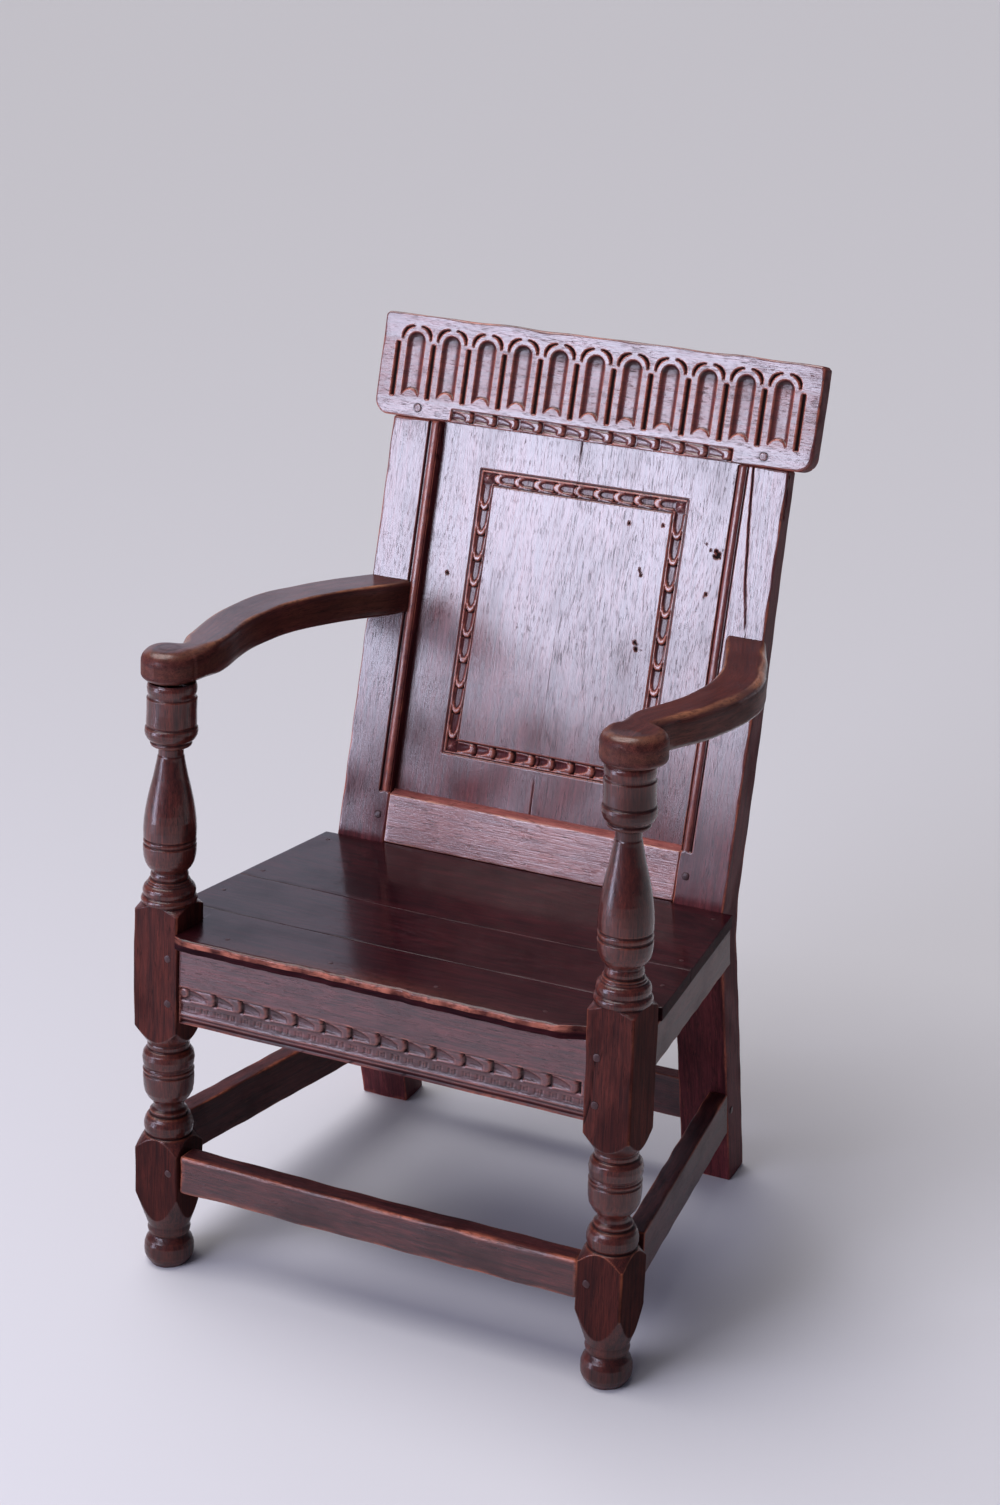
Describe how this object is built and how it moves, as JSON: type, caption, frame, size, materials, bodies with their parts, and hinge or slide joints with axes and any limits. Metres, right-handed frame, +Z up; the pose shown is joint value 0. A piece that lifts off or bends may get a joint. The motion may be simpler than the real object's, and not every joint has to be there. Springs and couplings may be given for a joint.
{
  "type": "wainscot armchair",
  "caption": "Joined oak armchair with a panelled back, carved arcaded crest, bowed open arms, turned front legs, plank seat and box stretchers.",
  "frame": {"origin": "centre of the footprint of the whole chair, on the floor", "axes": "+Z up, -Y the way the chair faces, +X to the right of somebody who looks at the chair from in front"},
  "size_m": [0.6464, 0.6565, 0.9827],
  "materials": {
    "oak_frame": "old dark oak, wax polished",
    "oak_turned": "turned dark oak, wax polished",
    "oak_panel": "quartered oak boards, wax polished",
    "oak_seat": "worn glossy oak boards",
    "oak_pegs": "riven oak pegs, worn"
  },
  "bodies": {
    "root": {"front_leg_left": "oak_turned", "front_leg_right": "oak_turned", "back_post_left": "oak_frame", "back_post_right": "oak_frame", "crest_rail": "oak_frame", "lower_back_rail": "oak_frame", "panel_board_left": "oak_panel", "panel_board_right": "oak_panel", "arm_left": "oak_frame", "arm_right": "oak_frame", "front_seat_rail": "oak_frame", "left_seat_rail": "oak_frame", "right_seat_rail": "oak_frame", "back_seat_rail": "oak_frame", "front_stretcher": "oak_frame", "left_stretcher": "oak_frame", "right_stretcher": "oak_frame", "back_stretcher": "oak_frame", "seat_board_front": "oak_seat", "seat_board_middle": "oak_seat", "seat_board_back": "oak_seat", "crest_rail_pegs": "oak_pegs", "lower_back_rail_pegs": "oak_pegs", "front_rail_pegs": "oak_pegs", "front_stretcher_pegs": "oak_pegs", "left_rail_pegs": "oak_pegs", "right_rail_pegs": "oak_pegs", "back_rail_pegs": "oak_pegs", "left_stretcher_pegs": "oak_pegs", "right_stretcher_pegs": "oak_pegs", "back_stretcher_pegs": "oak_pegs", "seat_pins": "oak_pegs"}
  },
  "joints": []
}
